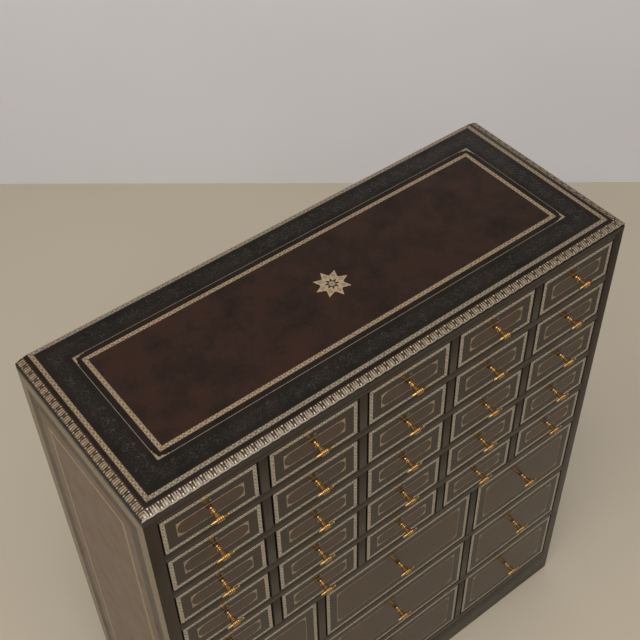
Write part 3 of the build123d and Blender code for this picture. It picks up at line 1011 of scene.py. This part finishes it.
def mirrored(half):
    """A whole outline from its half at positive x, whose first point lies on the middle line."""
    return half + [(-a, b) for a, b in reversed(half[1:])]


def disc(middle_a, middle_b, radius, sides=12):
    """A round outline."""
    angles = (2 * math.pi * n / sides for n in range(sides))
    return [(middle_a + radius * math.cos(a), middle_b + radius * math.sin(a)) for a in angles]


# Leaf and dart, in millimetres along the moulding and out from it: a leaf cut into three from its inner
# edge, the bright ribs up its middle and its sides, and the dart between two leaves with its tip and ball
LEAF = mirrored([(0.0, 0.1), (0.75, 0.15), (1.05, 0.9), (1.1, 3.6), (1.95, 5.6), (2.8, 3.6), (2.85, 0.9),
                 (3.2, 0.2), (4.3, 0.3), (4.8, 1.3), (4.95, 4.0), (5.2, 7.0), (5.25, 9.3), (4.7, 10.9),
                 (2.0, 11.2)])
MIDDLE_RIB = mirrored([(0.0, 0.15), (0.6, 0.4), (0.85, 1.6), (0.6, 3.4), (0.6, 6.0), (0.9, 8.0), (1.2, 10.4)])
SIDE_RIB = [(3.3, 0.45), (4.2, 0.6), (4.55, 1.6), (4.5, 4.0), (4.9, 7.0), (5.0, 9.4), (4.4, 10.6), (3.9, 9.6),
            (4.0, 7.0), (3.6, 4.0), (3.1, 1.8)]
RIBS = (MIDDLE_RIB, SIDE_RIB, [(-a, b) for a, b in reversed(SIDE_RIB)])
DART = mirrored([(0.0, 0.1), (1.7, 0.1), (1.0, 2.2), (0.55, 3.6), (0.75, 5.2), (0.5, 6.4), (0.7, 7.6),
                 (1.0, 9.0)])
DART_TIP = mirrored([(0.0, 0.1), (1.65, 0.15), (1.2, 1.6), (0.5, 2.7), (0.0, 3.0)])
BALL = mirrored([(0.0, 7.6), (0.7, 8.2), (1.15, 9.3), (1.2, 10.2), (0.7, 11.0), (0.0, 11.2)])
LEAF_HEIGHT = 0.35 * MM
LEAF_START = 1.8 * MM
LEAF_FINISHES = (
    "gilding_pale",
    "gilding_dull",
    "gilding_bright",
    "gilding_rim",
    "gilding_plain",
    "gilding_faint",
    "leather_turned_in",
)
# Finishes of the ribs, the leaves and darts, their tips and the rim, in front and at the ends
# In front the tips and balls take the brightest gilding, a painted highlight
FRONT_LEAVES = (0, 1, 2, 3)
# At the ends the leaf bodies take the faintest gilding as painted shade, and the rim the near-black leather
# as a painted shadow under the lip
END_LEAVES = (4, 5, 0, 6)
RIM_STEPS = 12
RIM_OUT = 10.3
RIM_WIDTH = 1.45
END_DROOP = 1.2


def leaf_strip(bm, place, side_length, cuts, at_end=False):
    """Leaves, darts and the rim along one side, cut at the mitres.

    The rim is scalloped and gilt in front, and straight and near black at the ends as a painted shadow under
    the lip, where the leaves are warmer and their bodies faint as painted shade.
    """
    rib_mark, leaf_mark, tip_mark, rim_mark = END_LEAVES if at_end else FRONT_LEAVES
    count = round(side_length / tooling().leaf_pitch)
    pitch = side_length / count
    strip = bmesh.new()
    leaf, dart = millimetres(rounded(LEAF)), millimetres(rounded(DART))
    ribs = [millimetres(rounded(rib)) for rib in RIBS]

    def motif(outline, along, height, mark, inset=0.12 * MM):
        raised(strip, [(a + along, b) for a, b in outline], place, height, mark, inset)

    for n in range(count + 1):
        at = (n - count / 2) * pitch
        motif(dart, at, LEAF_HEIGHT * 0.8, leaf_mark)
        motif(millimetres(DART_TIP), at, LEAF_HEIGHT, tip_mark)
        motif(millimetres(BALL), at, LEAF_HEIGHT + 0.25 * MM, tip_mark, 0.4 * MM)
        if n < count:
            motif(leaf, at + pitch / 2, LEAF_HEIGHT * 0.6, leaf_mark)
            for rib in ribs:
                motif(rib, at + pitch / 2, LEAF_HEIGHT, rib_mark)
    rim = []
    for n in range(count * RIM_STEPS + 1):
        at = (n / RIM_STEPS - count / 2) * pitch
        droop = END_DROOP if at_end else abs(math.cos(math.pi * n / RIM_STEPS))
        edges = ((RIM_OUT + RIM_WIDTH, 0.15), (RIM_OUT, 0.45))
        rim.append([strip.verts.new(place(at, (out + droop) * MM, height * MM)) for out, height in edges])
    for (outer, inner), (next_outer, next_inner) in zip(rim, rim[1:]):
        face(strip, (outer, next_outer, next_inner, inner), rim_mark)
    for point, normal in cuts:
        geometry = strip.verts[:] + strip.edges[:] + strip.faces[:]
        bmesh.ops.bisect_plane(strip, geom=geometry, plane_co=point, plane_no=normal, clear_outer=True)
    face_up(strip)
    mesh = bpy.data.meshes.new("strip")
    strip.to_mesh(mesh)
    strip.free()
    bm.from_mesh(mesh)
    bpy.data.meshes.remove(mesh)


def moulding_mesh():
    """The leaf and dart tooling on the front and both ends of the top."""
    t = tooling()
    bm = bmesh.new()
    run = t.moulding
    shelf = run - LEAF_RUN + LEAF_START

    def on_side(side):
        def put(along, out, height):
            reach = out + shelf
            z = TOP_Z - t.relief - 0.1 * MM - mould_drop(min(reach, run)) + height
            if side == 0:
                return Vector((along, FRONT_Y + run - reach, z))
            return Vector((side * (HALF_WIDTH - run + reach), (FRONT_Y + BACK_Y) / 2 + along, z))
        return put

    back = (Vector((0, BACK_Y - 0.05 * MM, 0)), (0, 1, 0))
    left, right = (Vector((sign * HALF_WIDTH, FRONT_Y, 0)) for sign in (-1, 1))
    leaf_strip(bm, on_side(0), 2 * HALF_WIDTH, ((left, (-1, 1, 0)), (right, (1, 1, 0))))
    leaf_strip(bm, on_side(-1), BACK_Y - FRONT_Y, ((left, (1, -1, 0)), back), at_end=True)
    leaf_strip(bm, on_side(1), BACK_Y - FRONT_Y, ((right, (-1, -1, 0)), back), at_end=True)
    return bm


STAR_FINISHES = ("gilding_plain", "gilding_dull", "leather_brown_edge", "gilding_worn", "gilding_line")
STAR_GOLD, STAR_DULL, STAR_EYE, BOSS, BOSS_RING = range(5)
# A petal from its tip inwards, in millimetres out from the middle and across: outline, spear and diamonds
PETAL = ((30.0, 0.0), (27.4, 1.25), (24.0, 2.9), (21.4, 4.1), (19.2, 5.1), (17.8, 6.3), (16.8, 6.9),
         (13.6, 5.55), (11.0, 4.4), (8.4, 1.7), (6.3, 0.2))
SPEAR = ((29.6, 0.0), (27.0, 1.2), (24.7, 2.4), (23.2, 0.0))
DIAMOND = ((22.0, 0.0), (19.4, 2.8), (16.6, 2.8), (12.8, 0.0))
INNER_DIAMOND = ((20.4, 0.0), (18.6, 1.6), (16.6, 1.6), (14.6, 0.0))
EYE = ((18.7, 0.0), (17.7, 0.9), (16.7, 0.0), (17.7, -0.9))


def star_mesh():
    """The rosette: eight spear-tipped petals with eyes, round a domed boss."""
    t = tooling()
    bm = bmesh.new()
    scale = t.star / PETAL[0][0]
    z = TOP_Z - t.relief
    middle = Vector((0, (FRONT_Y + BACK_Y + t.moulding) / 2, 0))

    def polar(turn):
        c, s = math.cos(math.radians(turn)), math.sin(math.radians(turn))
        return lambda r, across, height: Vector(
            (middle.x + r * c - across * s, middle.y + r * s + across * c, z + height)
        )

    def scaled(outline):
        return [(a * scale, b * scale) for a, b in outline]

    forms = []
    for half, height, mark in (
        (PETAL, 0.7, STAR_GOLD),
        (SPEAR, 0.9, STAR_GOLD),
        (DIAMOND, 0.8, STAR_DULL),
        (INNER_DIAMOND, 0.9, STAR_GOLD),
    ):
        mirror = [(a, -b) for a, b in reversed(half) if b]
        forms.append((scaled(list(half) + mirror), height, mark, 0.2 * MM))
    forms.append((scaled(rounded(EYE)), 1.0, STAR_EYE, 0.12 * MM))
    for n in range(8):
        for outline, height, mark, inset in forms:
            raised(bm, outline, polar(45 * n), t.relief * height, mark, inset)
    for radius, height, mark in ((5.4, 0.7, BOSS), (4.0, 0.85, BOSS_RING), (2.4, 1.0, BOSS)):
        raised(bm, scaled(disc(0.0, 0.0, radius, 20)), polar(0), t.relief * height, mark, 0.3 * MM)
    return bm


CORNER_LEAF = ((0.0, 0.0), (4.0, -0.2), (9.0, -0.2), (12.0, 0.2), (15.0, 0.1), (12.6, 1.0), (10.6, 1.3),
               (8.6, 2.5), (6.8, 2.9), (5.0, 2.2), (3.4, 3.4))
CORNER_VEIN = ((1.4, 1.0), (5.0, 0.6), (9.4, 0.6), (6.4, 1.4), (3.0, 1.9))
LEAF_GOLD, VEIN_DULL = range(2)


def corner_leaves_mesh():
    """The leafy gilt corners inside the top's thin line."""
    t = tooling()
    bm = bmesh.new()
    inset = t.moulding + t.top_line + 0.9 * MM
    back = t.top_line + 1.9 * MM
    z = TOP_Z - t.relief
    forms = ((rounded(CORNER_LEAF), 0.7, LEAF_GOLD), (CORNER_VEIN, 0.85, VEIN_DULL),
             (disc(16.6, 0.4, 0.9), 0.9, LEAF_GOLD))

    def in_corner(sx, sy, swap):
        x = sx * (HALF_WIDTH - inset)
        y = FRONT_Y + inset if sy < 0 else BACK_Y - back

        def put(a, b, height):
            a, b = (b, a) if swap else (a, b)
            return Vector((x - sx * a, y - sy * b, z + height))
        return put

    for sx, sy in CORNERS:
        for swap in (False, True):
            for outline, height, mark in forms:
                raised(bm, millimetres(outline), in_corner(sx, sy, swap), t.relief * height, mark)
    face_up(bm)
    return bm


class CHEST_OT_top(bpy.types.Operator):
    """Build the top with its moulded edge, its bands and its tooled leather"""

    bl_idname = "chest.top"
    bl_label = "Top"

    def execute(self, context):
        piece("top_clad", top_mesh(), TOP_FINISHES, "case", ("top_board",))
        return {"FINISHED"}


class CHEST_OT_moulding(bpy.types.Operator):
    """Tool the leaves and darts on the moulded edge of the top"""

    bl_idname = "chest.moulding"
    bl_label = "Leaf and dart moulding"

    def execute(self, context):
        piece("leaf_and_dart_moulding", moulding_mesh(), LEAF_FINISHES, "case")
        return {"FINISHED"}


class CHEST_OT_rosette(bpy.types.Operator):
    """Tool the rosette in the middle of the top"""

    bl_idname = "chest.rosette"
    bl_label = "Rosette"

    def execute(self, context):
        piece("star_rosette", star_mesh(), STAR_FINISHES, "case")
        return {"FINISHED"}


class CHEST_OT_corner_leaves(bpy.types.Operator):
    """Tool the leaves in the corners of the top's thin line"""

    bl_idname = "chest.corner_leaves"
    bl_label = "Corner leaves"

    def execute(self, context):
        finishes = ("gilding_line", "gilding_dull")
        piece("top_corner_leaves", corner_leaves_mesh(), finishes, "case")
        return {"FINISHED"}


# The case


SKIN = 0.8 * MM
TURN_IN = 15.0 * MM
ARRIS = 0.35 * MM
PARTITION_CHAMFER = 1.6 * MM
# The end panels' leather is painted paler, as painted light and reflection from the left
SIDE_FINISHES = (
    "leather_brown_edge",
    "gilding_side",
    "leather_brown_black_side",
    "gilding_line",
    "leather_brown_side",
)
SIDE_WIDTHS = (22 * MM, 45 * MM, 67 * MM, 7 * MM)
SIDE_CORNER = (6 * MM, 6 * MM)
# The turned-in finish is near black, partly painted shade in the gaps between boards and drawers
BARE, CLAD, TURNED_IN_SHADED = range(3)
CLADDING = ("leather_brown_edge", "leather_turned_in")
GLIDE_RADIUS = 9 * MM
PINS_IN_A_ROW = 9
PIN_INSET = 4.5 * MM
PIN_DOME = 0.22 * MM


def turns(edge, angle=50):
    """Whether two faces meet at an edge at more than this angle, in degrees."""
    return len(edge.link_faces) == 2 and edge.calc_face_angle() > math.radians(angle)


def board_copy(node, move=None, chamfer=0.0):
    """A copy of a CAD board with eased edges, and chamfers on its upright front edges if it has them."""
    bm = bmesh.new()
    bm.from_mesh(frame["nodes"][node].data)
    bmesh.ops.remove_doubles(bm, verts=bm.verts[:], dist=0.01 * MM)
    bmesh.ops.dissolve_limit(bm, angle_limit=math.radians(1), verts=bm.verts[:], edges=bm.edges[:])
    if move:
        for v in bm.verts:
            v.co = move(v.co)
    if chamfer:
        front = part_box(node)[0].y + 0.1 * MM
        upright = [e for e in bm.edges if turns(e) and all(v.co.y < front for v in e.verts)
                   and abs(e.verts[0].co.z - e.verts[1].co.z) > 1.0 * MM]
        bmesh.ops.bevel(bm, geom=upright, offset=chamfer, segments=1, affect="EDGES", profile=0.5)
    sharp = [e for e in bm.edges if turns(e)]
    bmesh.ops.bevel(bm, geom=sharp, offset=ARRIS, segments=2, affect="EDGES", profile=0.5)
    bm.loops.layers.uv.new("tooling")
    return bm


def split_behind_front(bm):
    """Cut the boards' faces where the leather that is turned in round the front ends."""
    geometry = bm.verts[:] + bm.edges[:] + bm.faces[:]
    bmesh.ops.bisect_plane(bm, geom=geometry, plane_co=(0, FRONT_Y + TURN_IN, 0), plane_no=(0, 1, 0))


def clad(bm, covered):
    """Leather on the faces that the given test takes, matt and near black where it doesn't face the front, as
    darker turned-in leather and painted shade in the gaps.
    """
    for f in bm.faces:
        f.material_index = BARE
        if covered(f.calc_center_median()):
            f.material_index = CLAD if f.normal.y < -0.95 else TURNED_IN_SHADED


class CHEST_OT_sides(bpy.types.Operator):
    """Clad the two end panels in tooled leather"""

    bl_idname = "chest.sides"
    bl_label = "End panels"

    def execute(self, context):
        t = tooling()
        for node, sign in (("left_side", -1), ("right_side", 1)):
            low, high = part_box(node)

            def shallower(co, sign=sign):
                if abs(co.x) > HALF_WIDTH - 0.1 * MM:
                    return Vector((sign * (HALF_WIDTH - SKIN), co.y, co.z))
                return co

            bm = board_copy(node, shallower)
            split_behind_front(bm)
            clad(bm, lambda c: c.y < FRONT_Y + TURN_IN or abs(c.x) > HALF_WIDTH - 2 * SKIN)
            finishes = ("hardwood_stained_z",) + CLADDING
            piece(node + "_board", bm, finishes, "case", (node,))
            bm, uv = start()
            middle = (sign * (HALF_WIDTH - t.relief), (low.y + high.y) / 2, (low.z + high.z) / 2)
            place = plane(middle, (0, sign, 0), (0, 0, 1), (sign, 0, 0))
            half_y, half_z = (high.y - low.y) / 2, (high.z - low.z) / 2
            tooled_panel(bm, uv, place, half_y, half_z, SKIN - t.relief, SIDE_WIDTHS, SIDE_CORNER, FIELD)
            piece(node + "_leather", bm, SIDE_FINISHES, "case")
        return {"FINISHED"}


class CHEST_OT_boards(bpy.types.Operator):
    """Ease the edges of the case's boards and clad their fronts in leather"""

    bl_idname = "chest.boards"
    bl_label = "Shelves and partitions"

    def execute(self, context):
        done = {"top_board", "left_side", "right_side", "glides"}
        for node in frame["record"]["behaviour"]["bodies"]["case"]:
            if node in done:
                continue
            grain = "z" if "partition" in node or node == "corner_blocks" else "x"
            wooden = "back_board_stained" if node == "back_panel" else "hardwood_stained_" + grain
            bm = board_copy(node, chamfer=PARTITION_CHAMFER if "partition" in node else 0.0)
            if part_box(node)[0].y < FRONT_Y + 1.0 * MM:
                split_behind_front(bm)
            clad(bm, lambda c: c.y < FRONT_Y + TURN_IN)
            piece(node + "_board", bm, (wooden,) + CLADDING, "case", (node,))
        return {"FINISHED"}


class CHEST_OT_glides(bpy.types.Operator):
    """Turn the four floor glides"""

    bl_idname = "chest.glides"
    bl_label = "Floor glides"

    def execute(self, context):
        low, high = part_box("glides")
        bm, _ = start()
        profile = ((0.0, 5.0), (0.0, 7.4), (0.35, 8.4), (1.0, 8.9), (1.6, 9.0), (3.0, 9.0))
        for x in (low.x + GLIDE_RADIUS, high.x - GLIDE_RADIUS):
            for y in (low.y + GLIDE_RADIUS, high.y - GLIDE_RADIUS):
                turned(bm, profile, (x, y, 0.0), (0, 0, 1), 28)
        piece("floor_glides", bm, ("nylon_moulded_black",), "case", ("glides",))
        return {"FINISHED"}


class CHEST_OT_back_pins(bpy.types.Operator):
    """Drive the pins that hold the back board"""

    bl_idname = "chest.back_pins"
    bl_label = "Back board pins"

    def execute(self, context):
        low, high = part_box("back_panel")
        bm, _ = start()
        head = ((-0.3, 2.4), (0.0, 2.4), (0.12, 2.2), (0.2, 1.4), (0.22, 0.0))
        for n in range(PINS_IN_A_ROW):
            z = low.z + (high.z - low.z) * (n + 0.5) / PINS_IN_A_ROW
            for x in (low.x + PIN_INSET, high.x - PIN_INSET):
                turned(bm, head, (x, high.y - PIN_DOME, z), (0, 1, 0), 12)
        piece("back_board_pins", bm, ("steel_screw",), "case")
        return {"FINISHED"}


# The stage


WALL_DISTANCE = 2.745
WALL_SKEW = 0.043
WALL_HEIGHT = 1.8
WALL_HALF_WIDTH = 7
FLOOR_DEPTH = 9


def flat_sheet(name, corners, material):
    """A plain surface of the stage."""
    bm = bmesh.new()
    bm.faces.new([bm.verts.new(c) for c in corners])
    mesh = bpy.data.meshes.new(name)
    bm.to_mesh(mesh)
    bm.free()
    mesh.materials.append(bpy.data.materials[material])
    obj = bpy.data.objects.new(name, mesh)
    bpy.context.scene.collection.objects.link(obj)


def lamp(name, size, power, place, target):
    """A round soft lamp, turned to a target."""
    data = bpy.data.lights.new(name, "AREA")
    data.shape = "DISK"
    data.size = size
    data.energy = power
    data.color = bpy.context.scene.chest_stage.warmth[:3]
    obj = bpy.data.objects.new(name, data)
    obj.location = place
    obj.rotation_euler = (Vector(target) - Vector(place)).to_track_quat("-Z", "Y").to_euler()
    bpy.context.scene.collection.objects.link(obj)


class CHEST_OT_stage(bpy.types.Operator):
    """Set the camera, the lamps, the floor and the backdrop"""

    bl_idname = "chest.stage"
    bl_label = "Stage"

    def execute(self, context):
        scene = context.scene
        s = scene.chest_stage
        data = bpy.data.cameras.new("camera")
        data.lens = s.lens
        data.sensor_width = 36.0
        camera = bpy.data.objects.new("camera", data)
        camera.location = s.camera_place
        camera.rotation_euler = s.camera_turn
        scene.collection.objects.link(camera)
        scene.camera = camera
        ahead = s.camera_turn.to_matrix() @ Vector((0, 0, -1))
        heading = Vector((ahead.x, ahead.y, 0)).normalized()
        # The backdrop stands a little askew to the camera's heading, as the wall in the photo does
        wall = Vector((s.camera_place[0], s.camera_place[1], 0)) + heading * WALL_DISTANCE
        across = (Vector((heading.y, -heading.x, 0)) - heading * WALL_SKEW).normalized() * WALL_HALF_WIDTH
        near = wall - heading * FLOOR_DEPTH
        up = Vector((0, 0, WALL_HEIGHT))
        paint("floor_paint_matt", s.floor, 0.75)
        paint("wall_paint_matt", s.wall, 0.8)
        left, right = wall - across, wall + across
        flat_sheet("floor", [near - across, near + across, right, left], "floor_paint_matt")
        flat_sheet("backdrop", [left, right, right + up, left + up], "wall_paint_matt")
        lamp("overhead", 2.6, s.key, (-0.5, -0.95, 3.3), (0.1, 0.1, 0.6))
        lamp("left", 2.0, s.side, (-2.8, 0.6, 2.4), (0, 0, 0.7))
        world = bpy.data.worlds.new("room")
        scene.world = world
        world.use_nodes = True
        background = world.node_tree.nodes["Background"]
        background.inputs["Color"].default_value = s.air
        background.inputs["Strength"].default_value = s.room
        scene.view_settings.view_transform = "Standard"
        return {"FINISHED"}


class CHEST_PT_sidebar(bpy.types.Panel):
    """The chest's sizes, colours and building steps"""

    bl_idname = "CHEST_PT_sidebar"
    bl_label = "Apothecary Chest"
    bl_space_type = "VIEW_3D"
    bl_region_type = "UI"
    bl_category = "Chest"

    def draw(self, context):
        for group in (context.scene.chest_tooling, context.scene.chest_colours, context.scene.chest_stage):
            box = self.layout.box()
            for name in group.__annotations__:
                box.prop(group, name)
        for step in STEPS:
            self.layout.operator(step.bl_idname)


STEPS = (
    CHEST_OT_finishes,
    CHEST_OT_top,
    CHEST_OT_moulding,
    CHEST_OT_rosette,
    CHEST_OT_corner_leaves,
    CHEST_OT_sides,
    CHEST_OT_boards,
    CHEST_OT_glides,
    CHEST_OT_back_pins,
    CHEST_OT_drawer_fronts,
    CHEST_OT_drawer_boxes,
    CHEST_OT_pulls,
    CHEST_OT_stage,
)
GROUPS = (("chest_tooling", ChestTooling), ("chest_colours", ChestColours), ("chest_stage", ChestStage))


def register():
    for kind in [group for _, group in GROUPS] + list(STEPS) + [CHEST_PT_sidebar]:
        bpy.utils.register_class(kind)
    for name, group in GROUPS:
        setattr(bpy.types.Scene, name, PointerProperty(type=group))


def unregister():
    for name, _ in GROUPS:
        delattr(bpy.types.Scene, name)
    for kind in [CHEST_PT_sidebar] + list(reversed(STEPS)) + [group for _, group in GROUPS]:
        bpy.utils.unregister_class(kind)


def main():
    register()
    for step in STEPS:
        area, name = step.bl_idname.split(".")
        getattr(getattr(bpy.ops, area), name)()


if __name__ == "__main__":
    main()
